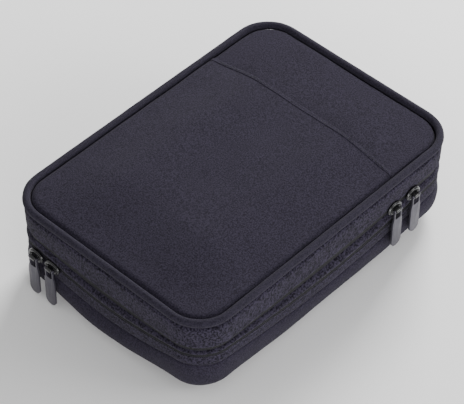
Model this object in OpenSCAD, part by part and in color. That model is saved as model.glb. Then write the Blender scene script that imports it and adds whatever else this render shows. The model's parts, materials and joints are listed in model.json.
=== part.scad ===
// Cable organizer pouch: a soft zipped case with two compartments, one above the other.
// X runs along the long side, Y along the short side, +Z is up.
// The origin is the centre of the flat base. The spine, where both compartments hinge, is the +Y side.
// "Inset" is the distance inwards from the pouch's outline in plan, which is the piping's outer edge.

/* [Outline] */
// Length along X, over the piping
pouch_l = 248; // [200:1:300]
// Width along Y, over the piping
pouch_w = 175; // [145:1:215]
// Corner radius in plan, over the piping
corner_r = 27; // [22:0.5:34]
// How far the side walls stand back from the outline
wall_inset = 1.5; // [1:0.1:2.5]

/* [Heights] */
// Base to the lower zip's line
base_depth = 34.5; // [34:0.5:50]
// Lower zip's line to the upper zip's line
middle_depth = 13.5; // [13:0.5:22]
// Upper zip's line to the piping's centre
lid_depth = 21.5; // [21:0.5:40]
// Height of the seam between the bottom shell and the lower zip's tape
shell_seam_z = 23.5; // [18:0.5:27]

/* [Fabric and padding] */
// Thickness of the padded walls
wall_t = 3; // [2.4:0.1:3.6]
// Thickness of the outer fabric on the base and top panels
skin_t = 0.8; // [0.5:0.1:1.2]
// Thickness of the lining
lining_t = 0.6; // [0.4:0.1:1]
// Thickness of the padded top panel
top_panel_t = 3.7; // [3:0.1:5]
// Thickness of the padded panel between the compartments
divider_panel_t = 3.3; // [2.5:0.1:3.5]
// Radius of the rounded edge under the bottom shell
heel_r = 12.5; // [8:0.5:14]
// Radius of the piping's cord with its cover
piping_r = 2.75; // [2:0.25:3.5]
// Width of the piping's sewn-in tail
piping_tail = 7; // [4:0.5:9]
// Thickness of the piping's tail
piping_tail_t = 0.8; // [0.5:0.1:1]
// Distance from the piping's cord down to the top of its sewn tail
tail_drop = 0.5; // [0.3:0.1:0.8]
// Space left between pieces of one body
seam_gap = 0.1; // [0.05:0.01:0.2]

/* [Phone pocket] */
// X of the pocket's mouth
pocket_mouth_x = 63; // [20:1:80]
// Width of the phone that the pocket takes
phone_w = 76; // [60:1:84]
// Depth of the pocket's flat part behind its mouth
phone_depth = 129; // [100:1:150]
// Height of the space in the pocket
pocket_space = 8; // [5:0.5:12]
// Thickness of the pocket's fabric
pocket_t = 1; // [0.8:0.1:1.5]
// Gap from the piping to the pocket's sewn edge
pocket_edge_gap = 1; // [0.5:0.1:3]
// Width of the pocket's sewn edge
pocket_hem = 3; // [2:0.5:5]

/* [Zips] */
// Width of the gap between a zip's two rows of coils, where a slider's post runs
zip_gap = 1.2; // [1:0.1:1.6]
// Radius of one row of coils
coil_r = 1; // [0.8:0.05:1.2]
// Thickness of the zip tape
tape_t = 0.8; // [0.5:0.05:0.9]
// How far the tape stands back from the walls
tape_setback = 0.9; // [0.6:0.1:1.2]
// Tape seen on each side of a zip's line
tape_show = 3; // [2.8:0.1:4]
// Angle left free for a stop at each end of a row of coils
stop_angle = 9; // [6:1:14]
// Space between a stop and the end of its row of coils, in degrees of the corner's curve
stop_gap = 1; // [0.5:0.5:2]
// Space between a stop and the spine, in degrees of the corner's curve
stop_margin = 2; // [1:0.5:4]

/* [Sliders] */
// Length of a slider along its zip
slider_l = 13; // [10:0.5:14]
// Width of a slider across its zip
slider_w = 9; // [8:0.5:10]
// Thickness of the slider's outer plate
outer_plate_t = 2; // [1.5:0.1:2.5]
// Length of the slider's inner plate
inner_plate_l = 8; // [6:0.5:9]
// Thickness of the slider's inner plate
inner_plate_t = 1.2; // [1:0.1:1.6]
// Space between the outer plate and the walls
plate_clear = 0.4; // [0.3:0.05:0.6]
// Space between the coils and the inner plate, with room for a corner's curve
coil_clear = 0.8; // [0.7:0.05:1.2]
// Space between the walls and the slider's inner flange, with room for a corner's curve
flange_clear = 0.6; // [0.5:0.05:0.8]
// Thickness of the post between the rows of coils
post_t = 0.8; // [0.5:0.05:0.9]
// Space between a slider and the edges of the linings
slider_clear = 0.6; // [0.5:0.05:1]
// Corner radius of the slider's outer plate
outer_round = 3; // [1:0.5:4]
// Corner radius of the slider's inner plate
inner_round = 1; // [0.5:0.1:2]
// Distance from the corner's curve to the upper zip's rear slider
upper_rear_gap = 20.5; // [1:0.5:40]
// Distance between the centres of the upper zip's sliders
upper_pitch = 18.5; // [14.5:0.5:24]
// Distance between the centres of the lower zip's sliders
lower_pitch = 15; // [14.5:0.5:20]

/* [Pulls] */
// Length of a pull from its pin to its tip
pull_l = 33; // [20:0.5:33.5]
// Width of a pull at its pin
pull_top_w = 7.6; // [7.2:0.1:8.5]
// Width of a pull at its rounded tip
pull_tip_w = 9.2; // [7.2:0.1:10]
// Thickness of a pull
pull_t = 1.4; // [1:0.1:1.6]
// Metal of the pull's ears round its pin
pull_ear_wall = 0.6; // [0.4:0.1:0.8]
// Radius of the pull's pin
pin_r = 0.75; // [0.6:0.05:0.8]
// Running clearance round the pin
pin_clear = 0.08; // [0.04:0.01:0.1]
// Radius of the slider's lug round the pin
lug_r = 1.7; // [1.5:0.1:1.8]
// Width of the slider's lug
lug_w = 4.6; // [3.5:0.1:5]
// Height of the pin above the slider's outer plate
lug_rise = 2.1; // [1.9:0.1:2.6]
// Space at each side of the lug in the pull's window
window_clear = 0.35; // [0.3:0.05:0.6]
// Length of the window below the pin
window_l = 7.5; // [5:0.5:9]

/* [Inside] */
// Thickness of the padded dividers in the lower compartment
divider_t = 4; // [3:0.5:6]
// Distance from the lining's top edge down to the dividers' tops
divider_drop = 0.4; // [0.2:0.1:2]
// Y of the long divider
long_divider_y = 14; // [-10:1:30]
// X of the two cross dividers
cross_divider_x = [-40, 42]; // [-80:1:80]
// Length of a divider's hook-tape foot along the lining
hook_foot_l = 20; // [12:1:30]
// Thickness of the hook tape
hook_foot_t = 1.2; // [1:0.1:2]
// Number of loops on each elastic band
loop_count = 4; // [2:1:5]
// Width of one loop along the band
loop_span = 36; // [24:1:38]
// Height of the space under a loop
loop_rise = 7; // [5:0.5:9]
// Width of the elastic band
band_w = 25; // [15:1:30]
// Thickness of the elastic band
band_t = 1; // [0.8:0.1:1.5]
// Length of each stitched-down stretch between loops
band_foot = 8; // [5:1:12]
// Y of the two elastic bands
band_y = [-42, 36]; // [-55:1:55]
// Space from the lid's lining to the front and ends of the mesh pocket
mesh_edge_gap = 14; // [8:1:30]
// Width of the mesh pocket
mesh_w = 90; // [60:1:110]
// Height of the space in the mesh pocket
mesh_space = 5; // [4.5:0.5:8]
// Thickness of the mesh
mesh_t = 0.8; // [0.5:0.1:1]
// Width of the elastic binding on the mesh pocket's mouth
binding_w = 6; // [4:0.5:10]
// Thickness of the elastic binding
binding_t = 1.8; // [1.4:0.1:2.4]

/* [Spine] */
// Distance of the hinge lines behind the outline
hinge_setback = 0.3; // [0.2:0.1:0.6]
// Gap between two spine panels at a hinge line
spine_gap = 0.8; // [0.6:0.1:1.2]

/* [Hidden] */
$fn = 64;
small_fn = 24;
medium_fn = 32;
eps = 0.01;
// How far a cutting solid passes the surface that it cuts
overshoot = 1;
lower_zip_z = base_depth;
upper_zip_z = lower_zip_z + middle_depth;
piping_z = upper_zip_z + lid_depth;
side_x = pouch_l / 2 - corner_r;
side_y = pouch_w / 2 - corner_r;
upper_rear_x = side_x - upper_rear_gap;
upper_front_x = upper_rear_x - upper_pitch;
lower_front_y = side_y - lower_pitch;
wall_in = wall_inset + wall_t;
lining_in = wall_in + seam_gap;
tape_in = wall_inset + tape_setback;
coil_in = tape_in + tape_t + coil_r + seam_gap / 2;
half_gap = zip_gap / 2;
coil_z = half_gap + coil_r;
heel_in = wall_inset + heel_r;
tail_top_z = piping_z - piping_r - tail_drop;
tail_bottom_z = tail_top_z - piping_tail_t;
gusset_top_z = tail_bottom_z - seam_gap;
ceiling_z = gusset_top_z - seam_gap - lining_t;
panel_in = 2 * piping_r + 2 * seam_gap;
panel_bottom_z = tail_top_z + seam_gap;
panel_top_z = panel_bottom_z + top_panel_t;
pocket_in = 2 * piping_r + pocket_edge_gap;
pocket_back_x = pocket_mouth_x - phone_depth;
slider_reach = slider_w / 2 + slider_clear;
lining_top_z = lower_zip_z - slider_reach;
lid_lining_bottom_z = upper_zip_z + slider_reach;
divider_panel_z = (lower_zip_z + upper_zip_z - divider_panel_t) / 2;
divider_panel_top_z = divider_panel_z + divider_panel_t;
divider_floor_z = wall_t + 2 * seam_gap + lining_t;
divider_top_z = lining_top_z - divider_drop;
divider_in = lining_in + lining_t + seam_gap;
plate_in = wall_inset - plate_clear;
plate_out = plate_in - outer_plate_t;
inner_plate_in = coil_in + coil_r + coil_clear;
pin_in = plate_out - lug_rise;
pull_ear_r = pull_t / 2 + pull_ear_wall;
window_w = lug_w + 2 * window_clear;
loop_r = (pow(loop_span / 2, 2) + pow(loop_rise, 2)) / (2 * loop_rise);
band_pitch = loop_span + band_foot;
mesh_top_z = ceiling_z - seam_gap;
mesh_low_z = mesh_top_z - mesh_space - mesh_t;
mesh_inset = lining_in + lining_t + mesh_edge_gap;
mesh_l = pouch_l - 2 * mesh_inset;
mesh_front_y = mesh_inset - pouch_w / 2;

// ---- Outlines and sweeps ----

// The pouch's outline in plan, drawn in by an inset
module outline(inset) {
    r = corner_r - inset;
    square([pouch_l - 2 * inset, 2 * side_y], center = true);
    square([2 * side_x, pouch_w - 2 * inset], center = true);
    for (x = [-side_x, side_x], y = [-side_y, side_y]) translate([x, y]) circle(r);
}

// A flat plate of the pouch's outline
module plate(inset, z_low, z_high) {
    translate([0, 0, z_low]) linear_extrude(z_high - z_low) outline(inset);
}

// A section drawn as (inset, z) turned round one corner; start is measured from +X
module corner_sweep(x, y, start, angle = 90) {
    translate([x, y, 0]) rotate([0, 0, start]) rotate_extrude(angle = angle)
        translate([corner_r, 0]) mirror([1, 0]) children();
}

// A section drawn as (inset, z) drawn along one straight side; turn 0 is the +X side
module side_sweep(turn, half, length) {
    rotate([0, 0, turn]) translate([half, 0, 0]) rotate([90, 0, 0])
        linear_extrude(length, center = true) mirror([1, 0]) children();
}

// Round the three zipped sides, with both rear corners up to their tangent less end_free degrees
module three_sides(end_free = 0) {
    corner_sweep(side_x, side_y, 0, 90 - end_free) children();
    side_sweep(0, pouch_l / 2, 2 * side_y) children();
    corner_sweep(side_x, -side_y, 270) children();
    side_sweep(270, pouch_w / 2, 2 * side_x) children();
    corner_sweep(-side_x, -side_y, 180) children();
    side_sweep(180, pouch_l / 2, 2 * side_y) children();
    corner_sweep(-side_x, side_y, 90 + end_free, 90 - end_free) children();
}

// Along the spine side only, short of the zips' ends
module spine_side() {
    side_sweep(90, pouch_w / 2, 2 * (side_x - seam_gap)) children();
}

// Round all four sides
module four_sides() {
    three_sides() children();
    side_sweep(90, pouch_w / 2, 2 * side_x) children();
}

// A rectangle in a section, from (inset, z) to (inset, z)
module section(in_low, z_low, in_high, z_high) {
    translate([in_low, z_low]) square([in_high - in_low, z_high - z_low]);
}

// ---- Lid ----

module top_panel() {
    color("#37353f") plate(panel_in, panel_top_z - skin_t, panel_top_z);
}

module top_pad() {
    color("#55555c") plate(panel_in, panel_bottom_z, panel_top_z - skin_t - seam_gap / 2);
}

// The pocket's outline on the panel, drawn in by an inset and cut off at its mouth
module pocket_outline(inset, mouth_x) {
    intersection() {
        outline(inset);
        translate([-pouch_l, -pouch_w]) square([pouch_l + mouth_x, 2 * pouch_w]);
    }
}

// The pocket's domed space: a sewn outline that rises to a flat top as wide as the phone
module pocket_dome(inset, mouth_x, height, margin) {
    hull() {
        linear_extrude(eps) pocket_outline(inset, mouth_x);
        translate([pocket_back_x + margin, margin - phone_w / 2, height - eps])
            cube([mouth_x - pocket_back_x - margin, phone_w - 2 * margin, eps]);
    }
}

module phone_pocket() {
    color("#3a3842") translate([0, 0, panel_top_z + seam_gap / 2]) difference() {
        pocket_dome(pocket_in, pocket_mouth_x, pocket_space + pocket_t, 0, $fn = medium_fn);
        translate([0, 0, -eps])
            pocket_dome(
                pocket_in + pocket_hem,
                pocket_mouth_x + pocket_t,
                pocket_space + eps,
                pocket_t,
                $fn = medium_fn
            );
    }
}

module top_piping() {
    color("#403e49") four_sides() {
        translate([piping_r, piping_z]) circle(piping_r);
        section(piping_r - piping_tail_t, tail_bottom_z, piping_r + piping_tail_t, piping_z);
        section(piping_r, tail_bottom_z, piping_r + piping_tail, tail_top_z);
    }
}

module lid_gusset() {
    color("#37353f") four_sides() section(wall_inset, upper_zip_z + tape_show, wall_in, gusset_top_z);
}

module lid_spine() {
    color("#37353f") spine_side()
        section(wall_inset, upper_zip_z + spine_gap / 2, wall_in, upper_zip_z + tape_show - seam_gap);
}

module lid_lining() {
    color("#26252b") {
        four_sides() section(lining_in, lid_lining_bottom_z, lining_in + lining_t, ceiling_z + lining_t);
        plate(lining_in + lining_t / 2, ceiling_z, ceiling_z + lining_t);
    }
}

// One half of a zip's tape: side is 1 above the zip's line and -1 below it
module zip_tape(zip_z, side, show) {
    low = min(side * half_gap, side * (show - seam_gap));
    high = max(side * half_gap, side * (show - seam_gap));
    color("#2b2a31") three_sides() section(tape_in, zip_z + low, tape_in + tape_t, zip_z + high);
}

// One row of a zip's coils
module zip_coil(zip_z, side) {
    color("#1d1c21") three_sides(stop_angle)
        translate([coil_in, zip_z + side * coil_z]) circle(coil_r, $fn = small_fn);
}

// The two stops at the ends of one row of coils
module zip_stops(zip_z, side) {
    low = zip_z + side * coil_z - coil_r;
    color("#232227") {
        corner_sweep(side_x, side_y, 90 - stop_angle + stop_gap, stop_angle - stop_gap - stop_margin)
            section(coil_in - coil_r + seam_gap, low, coil_in + coil_r, low + 2 * coil_r);
        corner_sweep(-side_x, side_y, 90 + stop_margin, stop_angle - stop_gap - stop_margin)
            section(coil_in - coil_r + seam_gap, low, coil_in + coil_r, low + 2 * coil_r);
    }
}

module lid_zip_tape() { zip_tape(upper_zip_z, 1, tape_show); }

module lid_zip_coil() { zip_coil(upper_zip_z, 1); }

// The mesh pocket hangs under the lid's lining, sewn on three sides and open towards the spine
module mesh_pocket() {
    color("#3f3e45") difference() {
        translate([-mesh_l / 2, mesh_front_y, mesh_low_z]) cube([mesh_l, mesh_w, mesh_top_z - mesh_low_z]);
        translate([-mesh_l / 2 + mesh_t, mesh_front_y + mesh_t, mesh_low_z + mesh_t])
            cube([mesh_l - 2 * mesh_t, mesh_w, mesh_space + overshoot]);
    }
}

module mesh_binding() {
    low = [-mesh_l / 2, mesh_front_y + mesh_w + seam_gap, mesh_low_z - (binding_t - mesh_t) / 2];
    color("#2b2a31") translate(low) cube([mesh_l, binding_w, binding_t]);
}

// ---- Middle ----

module middle_wall() {
    color("#312f38") three_sides()
        section(wall_inset, lower_zip_z + tape_show, wall_in, upper_zip_z - tape_show);
}

module middle_spine() {
    color("#37353f") spine_side()
        section(wall_inset, lower_zip_z + spine_gap / 2, wall_in, upper_zip_z - spine_gap / 2);
}

module divider_panel() {
    color("#2a292f") plate(wall_in + seam_gap, divider_panel_z, divider_panel_top_z);
}

module upper_zip_tape() { zip_tape(upper_zip_z, -1, tape_show); }

module upper_zip_coil() { zip_coil(upper_zip_z, -1); }

module upper_zip_stops() { zip_stops(upper_zip_z, -1); }

module lower_zip_tape() { zip_tape(lower_zip_z, 1, tape_show); }

module lower_zip_coil() { zip_coil(lower_zip_z, 1); }

// The band's arch over one loop, seen along Y: a circle's cap of the loop's span and rise
module loop_arch() {
    translate([0, loop_rise - loop_r]) intersection() {
        difference() {
            circle(loop_r + band_t);
            circle(loop_r);
        }
        translate([-loop_span, loop_r - loop_rise]) square([2 * loop_span, 2 * loop_r]);
    }
}

module cable_band(y) {
    color("#222126") translate([0, y, divider_panel_top_z + seam_gap]) rotate([90, 0, 0])
        linear_extrude(band_w, center = true) {
            for (i = [0 : loop_count - 1])
                translate([(i - (loop_count - 1) / 2) * band_pitch, 0]) loop_arch();
            for (i = [0 : loop_count])
                translate([(i - loop_count / 2) * band_pitch - band_foot / 2, 0])
                    square([band_foot, band_t]);
        }
}

module cable_loops_front() { cable_band(band_y[0]); }

module cable_loops_rear() { cable_band(band_y[1]); }

// ---- Base ----

// The bottom shell's section between two depths below its outer face
module bowl_section(depth_low, depth_high, top_z) {
    intersection() {
        translate([heel_in, heel_r]) difference() {
            circle(heel_r - depth_low);
            circle(heel_r - depth_high);
        }
        square([heel_in, heel_r]);
    }
    section(wall_inset + depth_low, heel_r, wall_inset + depth_high, top_z);
}

module base_panel() {
    color("#312f38") plate(heel_in + seam_gap, 0, skin_t);
}

module base_pad() {
    color("#55555c") plate(heel_in + seam_gap, skin_t + seam_gap / 2, wall_t);
}

module base_shell() {
    color("#37353f") four_sides() bowl_section(0, wall_t, shell_seam_z);
}

module base_spine() {
    color("#37353f") spine_side()
        section(wall_inset, shell_seam_z + seam_gap, wall_in, lower_zip_z - spine_gap / 2);
}

module base_lining() {
    depth = wall_t + seam_gap;
    color("#26252b") {
        four_sides() bowl_section(depth, depth + lining_t, lining_top_z);
        plate(heel_in - eps, depth, depth + lining_t);
    }
}

module base_zip_tape() { zip_tape(lower_zip_z, -1, lower_zip_z - shell_seam_z); }

module base_zip_coil() { zip_coil(lower_zip_z, -1); }

module base_zip_stops() { zip_stops(lower_zip_z, -1); }

// A padded divider along X from x_low to x_high, with a hook-tape foot at each end
module divider_board(x_low, x_high) {
    height = divider_top_z - divider_floor_z;
    notch = heel_r;
    color("#2f2e35") {
        // the ends stand above the bottom shell's rounded edge
        translate([x_low, -divider_t / 2, notch]) cube([x_high - x_low, divider_t, divider_top_z - notch]);
        translate([x_low + notch, -divider_t / 2, divider_floor_z])
            cube([x_high - x_low - 2 * notch, divider_t, height]);
        for (x = [x_low, x_high - hook_foot_t])
            translate([x, -hook_foot_l / 2, notch]) cube([hook_foot_t, hook_foot_l, divider_top_z - notch]);
    }
}

module long_divider() {
    half = pouch_l / 2 - divider_in;
    translate([0, long_divider_y, 0]) divider_board(-half, half);
}

module cross_divider(x) {
    translate([x, 0, 0]) rotate([0, 0, 90])
        divider_board(divider_in - pouch_w / 2, long_divider_y - divider_t / 2 - seam_gap);
}

module cross_divider_left() { cross_divider(cross_divider_x[0]); }

module cross_divider_right() { cross_divider(cross_divider_x[1]); }

// ---- Sliders and pulls ----
// Both are drawn on the front side: X along the zip, Y is the inset, and the zip's line is at z 0.

// A plate of rounded outline that stands across the inset, from one inset to another
module standing_plate(length, width, radius, in_low, in_high) {
    translate([0, in_high, 0]) rotate([90, 0, 0]) linear_extrude(in_high - in_low) {
        square([length - 2 * radius, width], center = true);
        square([length, width - 2 * radius], center = true);
        for (x = [-1, 1], z = [-1, 1])
            translate([x * (length / 2 - radius), z * (width / 2 - radius)]) circle(radius, $fn = medium_fn);
    }
}

module slider() {
    flange_in = max(wall_in + flange_clear, coil_in + coil_r / 2);
    flange_z = half_gap + 2 * coil_r + flange_clear;
    post_l = inner_plate_l / 3;
    color("#26262b") difference() {
        union() {
            standing_plate(slider_l, slider_w, outer_round, plate_out, plate_in);
            standing_plate(
                inner_plate_l, slider_w, inner_round, inner_plate_in, inner_plate_in + inner_plate_t
            );
            translate([0, plate_in - eps, -post_t / 2])
                cube([post_l, inner_plate_in - plate_in + 2 * eps, post_t]);
            // the flange holds only the row of coils that the slider's own body carries
            translate([-inner_plate_l / 2, flange_in, -slider_w / 2])
                cube([inner_plate_l, inner_plate_in - flange_in + eps, slider_w / 2 - flange_z]);
            translate([-lug_w / 2, pin_in, 0]) rotate([0, 90, 0]) cylinder(lug_w, r = lug_r);
            translate([-lug_w / 2, pin_in, -lug_r]) cube([lug_w, lug_rise + eps, 2 * lug_r]);
        }
        translate([-slider_l, pin_in, 0]) rotate([0, 90, 0]) cylinder(2 * slider_l, r = pin_r + pin_clear);
    }
}

// The pull hangs from its pin, which runs through the slider's lug
module pull() {
    tip_r = pull_tip_w / 2;
    color("#5c5a64") translate([0, pin_in, 0]) {
        difference() {
            union() {
                translate([0, pull_t / 2, 0]) rotate([90, 0, 0]) linear_extrude(pull_t) {
                    polygon([
                        [-pull_top_w / 2, 0], [pull_top_w / 2, 0],
                        [tip_r, tip_r - pull_l], [-tip_r, tip_r - pull_l]
                    ]);
                    translate([0, tip_r - pull_l]) circle(tip_r);
                }
                translate([-pull_top_w / 2, 0, 0]) rotate([0, 90, 0]) cylinder(pull_top_w, r = pull_ear_r);
            }
            translate([-window_w / 2, -pull_ear_r - overshoot, -window_l])
                cube([window_w, 2 * (pull_ear_r + overshoot), window_l + pull_ear_r + overshoot]);
        }
        translate([-pull_top_w / 2, 0, 0]) rotate([0, 90, 0]) cylinder(pull_top_w, r = pin_r);
    }
}

// Places on the zips
module on_front(x, z) { translate([x, -pouch_w / 2, z]) children(); }

module on_left(y, z) { translate([-pouch_l / 2, y, z]) rotate([0, 0, -90]) children(); }

module upper_slider_front() { on_front(upper_front_x, upper_zip_z) slider(); }

module upper_slider_rear() { on_front(upper_rear_x, upper_zip_z) slider(); }

module lower_slider_front() { on_left(lower_front_y, lower_zip_z) slider(); }

module lower_slider_rear() { on_left(side_y, lower_zip_z) slider(); }

module upper_pull_front() { on_front(upper_front_x, upper_zip_z) pull(); }

module upper_pull_rear() { on_front(upper_rear_x, upper_zip_z) pull(); }

module lower_pull_front() { on_left(lower_front_y, lower_zip_z) pull(); }

module lower_pull_rear() { on_left(side_y, lower_zip_z) pull(); }

top_panel();
top_pad();
phone_pocket();
top_piping();
lid_gusset();
lid_spine();
lid_lining();
lid_zip_tape();
lid_zip_coil();
mesh_pocket();
mesh_binding();
middle_wall();
middle_spine();
divider_panel();
upper_zip_tape();
upper_zip_coil();
upper_zip_stops();
lower_zip_tape();
lower_zip_coil();
cable_loops_front();
cable_loops_rear();
base_panel();
base_pad();
base_shell();
base_spine();
base_lining();
base_zip_tape();
base_zip_coil();
base_zip_stops();
long_divider();
cross_divider_left();
cross_divider_right();
upper_slider_front();
upper_slider_rear();
lower_slider_front();
lower_slider_rear();
upper_pull_front();
upper_pull_rear();
lower_pull_front();
lower_pull_rear();
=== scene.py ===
"""Cloth, zips and metal of a double-layer cable pouch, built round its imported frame."""
import json
import math

import bpy
from bpy.props import FloatProperty, FloatVectorProperty, PointerProperty
from mathutils import Matrix, Vector


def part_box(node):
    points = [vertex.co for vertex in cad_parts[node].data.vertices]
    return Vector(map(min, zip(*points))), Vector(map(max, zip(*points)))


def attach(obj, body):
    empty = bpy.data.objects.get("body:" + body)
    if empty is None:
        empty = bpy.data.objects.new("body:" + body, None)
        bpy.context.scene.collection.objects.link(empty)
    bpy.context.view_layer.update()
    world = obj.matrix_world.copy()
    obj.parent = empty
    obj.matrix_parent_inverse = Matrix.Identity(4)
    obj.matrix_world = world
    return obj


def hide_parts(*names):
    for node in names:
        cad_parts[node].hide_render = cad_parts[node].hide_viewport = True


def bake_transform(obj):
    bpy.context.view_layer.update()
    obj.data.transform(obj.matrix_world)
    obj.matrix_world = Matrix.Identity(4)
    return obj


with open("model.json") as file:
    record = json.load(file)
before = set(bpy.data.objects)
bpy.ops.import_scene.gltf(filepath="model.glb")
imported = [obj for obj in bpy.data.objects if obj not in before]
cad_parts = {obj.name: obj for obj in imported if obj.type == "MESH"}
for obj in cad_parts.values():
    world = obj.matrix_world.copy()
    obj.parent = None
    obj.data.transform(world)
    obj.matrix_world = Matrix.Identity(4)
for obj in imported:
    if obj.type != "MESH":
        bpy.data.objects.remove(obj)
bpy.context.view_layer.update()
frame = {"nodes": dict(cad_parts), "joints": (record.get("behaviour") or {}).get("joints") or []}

bl_info = {
    "name": "Cable organizer pouch",
    "version": (1, 0, 0),
    "blender": (4, 5, 0),
    "location": "3D View > Sidebar > Pouch",
    "description": "Builds the cloth, zips and metal of a double-layer cable pouch",
    "category": "Add Mesh",
}

# ---- Sizes read from the frame. Lengths are in millimetres, and MM turns them into metres. ----

MM = 0.001
JOINTS = {joint["name"]: joint for joint in frame["joints"]}


def box(node):
    """Lowest and highest corner of a node, in millimetres."""
    low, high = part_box(node)
    return low / MM, high / MM


SEAM_GAP = 0.1
HALF_L = box("top_piping")[1].x
HALF_W = box("top_piping")[1].y
SIDE_X = box("middle_spine")[1].x + SEAM_GAP
CORNER = HALF_L - SIDE_X
SIDE_Y = HALF_W - CORNER
UPPER_Z = JOINTS["lid_hinge"]["pos_m"][2] / MM
LOWER_Z = JOINTS["middle_hinge"]["pos_m"][2] / MM
PANEL_LOW = box("top_pad")[0].z
PANEL_HIGH = box("top_panel")[1].z
PIPING_TOP = box("top_piping")[1].z
SHELL_TOP = box("base_shell")[1].z
WALL_IN = HALF_L - box("lid_gusset")[1].x
WALL_BACK = WALL_IN + box("middle_spine")[1].y - box("middle_spine")[0].y
LID_WALL_TOP = box("lid_gusset")[1].z
MOUTH_X = box("phone_pocket")[1].x

# Steps along a long side, along a short side and round a corner
STEPS_X = 32
STEPS_Y = 20
STEPS_CORNER = 12


# ---- Hand tools ----


def clear_selection():
    """Object mode with nothing selected."""
    if bpy.context.object and bpy.context.object.mode != "OBJECT":
        bpy.ops.object.mode_set(mode="OBJECT")
    bpy.ops.object.select_all(action="DESELECT")


def pick(ob):
    """Makes one object the selected and active one."""
    clear_selection()
    ob.select_set(True)
    bpy.context.view_layer.objects.active = ob


def edit(ob, action="SELECT"):
    """Edit mode on one object, with all or none of it selected."""
    pick(ob)
    bpy.ops.object.mode_set(mode="EDIT")
    bpy.ops.mesh.select_all(action=action)


def leave():
    bpy.ops.object.mode_set(mode="OBJECT")


def modify(ob, kind, **settings):
    """Adds a modifier with these settings and applies it."""
    pick(ob)
    bpy.ops.object.modifier_add(type=kind)
    modifier = ob.modifiers[-1]
    for key, value in settings.items():
        setattr(modifier, key, value)
    bpy.ops.object.modifier_apply(modifier=modifier.name)


def subdivide(ob, kind="CATMULL_CLARK"):
    modify(ob, "SUBSURF", levels=1, render_levels=1, subdivision_type=kind)


def thicken(ob, thickness):
    modify(ob, "SOLIDIFY", thickness=thickness * MM, offset=0)


def round_edges(ob, width, segments=3, angle=30):
    """Rounds the edges that turn by more than an angle."""
    modify(
        ob, "BEVEL", width=width * MM, segments=segments, limit_method="ANGLE",
        angle_limit=math.radians(angle),
    )


def apply_place():
    """Fixes the active object's place, turn and size in its mesh."""
    bpy.ops.object.transform_apply(location=True, rotation=True, scale=True)
    return bpy.context.object


def choose_edges(ob, test):
    """Edit mode on one object with only the edges that pass a test selected."""
    edit(ob, "DESELECT")
    bpy.ops.mesh.select_mode(type="EDGE")
    leave()
    for edge in ob.data.edges:
        edge.select = test(edge)
    bpy.ops.object.mode_set(mode="EDIT")


def seal(ob, reach=0.002):
    """Merges doubles and turns every face outwards."""
    edit(ob)
    bpy.ops.mesh.remove_doubles(threshold=reach * MM)
    bpy.ops.mesh.normals_make_consistent(inside=False)
    leave()


def smooth(ob, angle=40):
    pick(ob)
    bpy.ops.object.shade_smooth_by_angle(angle=math.radians(angle))


def join(name, parts):
    """Joins several objects into one."""
    clear_selection()
    for part in parts:
        part.select_set(True)
    bpy.context.view_layer.objects.active = parts[0]
    if len(parts) > 1:
        bpy.ops.object.join()
    parts[0].name = name
    return parts[0]


def reshape(ob, rule):
    """Moves every vertex by a rule from (x, y, z) to (x, y, z), in millimetres."""
    for vertex in ob.data.vertices:
        vertex.co = Vector(rule(*(vertex.co / MM))) * MM


def crumple(ob, size, depth, direction="NORMAL"):
    """Soft, shallow unevenness of a given size and depth."""
    texture = bpy.data.textures.new(ob.name + "_unevenness", "CLOUDS")
    texture.noise_scale = size * MM
    texture.noise_depth = 1
    modify(ob, "DISPLACE", texture=texture, strength=depth * MM, mid_level=0.5, direction=direction)


def wear(ob, maker, body=None, replaces=()):
    """Gives a piece its finish and slot, sets the body it rides on and the nodes it stands for."""
    ob.data.materials.clear()
    ob.data.materials.append(finish_of(maker))
    if replaces:
        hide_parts(*replaces)
    if body:
        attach(ob, body)
    return ob


# ---- Sweeps round the pouch's outline ----
# A section is a list of (inset, z): the inset is the distance inwards from the outline.

RING = [
    ("side", (0, 2 * SIDE_Y), STEPS_Y), ("corner", (SIDE_X, SIDE_Y), 1),
    ("side", (-2 * SIDE_X, 0), STEPS_X), ("corner", (-SIDE_X, SIDE_Y), 1),
    ("side", (0, -2 * SIDE_Y), STEPS_Y), ("corner", (-SIDE_X, -SIDE_Y), 1),
    ("side", (2 * SIDE_X, 0), STEPS_X), ("corner", (SIDE_X, -SIDE_Y), 1),
]
ZIPPED = [
    ("corner", (SIDE_X, SIDE_Y), -1), ("side", (0, -2 * SIDE_Y), STEPS_Y),
    ("corner", (SIDE_X, -SIDE_Y), -1), ("side", (-2 * SIDE_X, 0), STEPS_X),
    ("corner", (-SIDE_X, -SIDE_Y), -1), ("side", (0, 2 * SIDE_Y), STEPS_Y),
    ("corner", (-SIDE_X, SIDE_Y), -1),
]
SPINE_LAP = 1.5
SPINE = [("side", (2 * (SIDE_X + SPINE_LAP), 0), STEPS_X)]


def start_point(route, inset, z):
    """Where a route starts, in metres."""
    if route is RING:
        return Vector((HALF_L - inset, -SIDE_Y, z)) * MM
    x = SIDE_X if route is ZIPPED else -SIDE_X - SPINE_LAP
    return Vector((x, HALF_W - inset, z)) * MM


def draw_along(route):
    """Extrudes and spins what is selected along a route."""
    for kind, place, count in route:
        if kind == "side":
            step = [place[0] * MM / count, place[1] * MM / count, 0]
            for _ in range(count):
                bpy.ops.mesh.extrude_region_move(TRANSFORM_OT_translate={"value": step})
        else:
            bpy.ops.mesh.spin(
                steps=STEPS_CORNER, angle=-count * math.pi / 2,
                center=(place[0] * MM, place[1] * MM, 0), axis=(0, 0, 1),
            )


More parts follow.
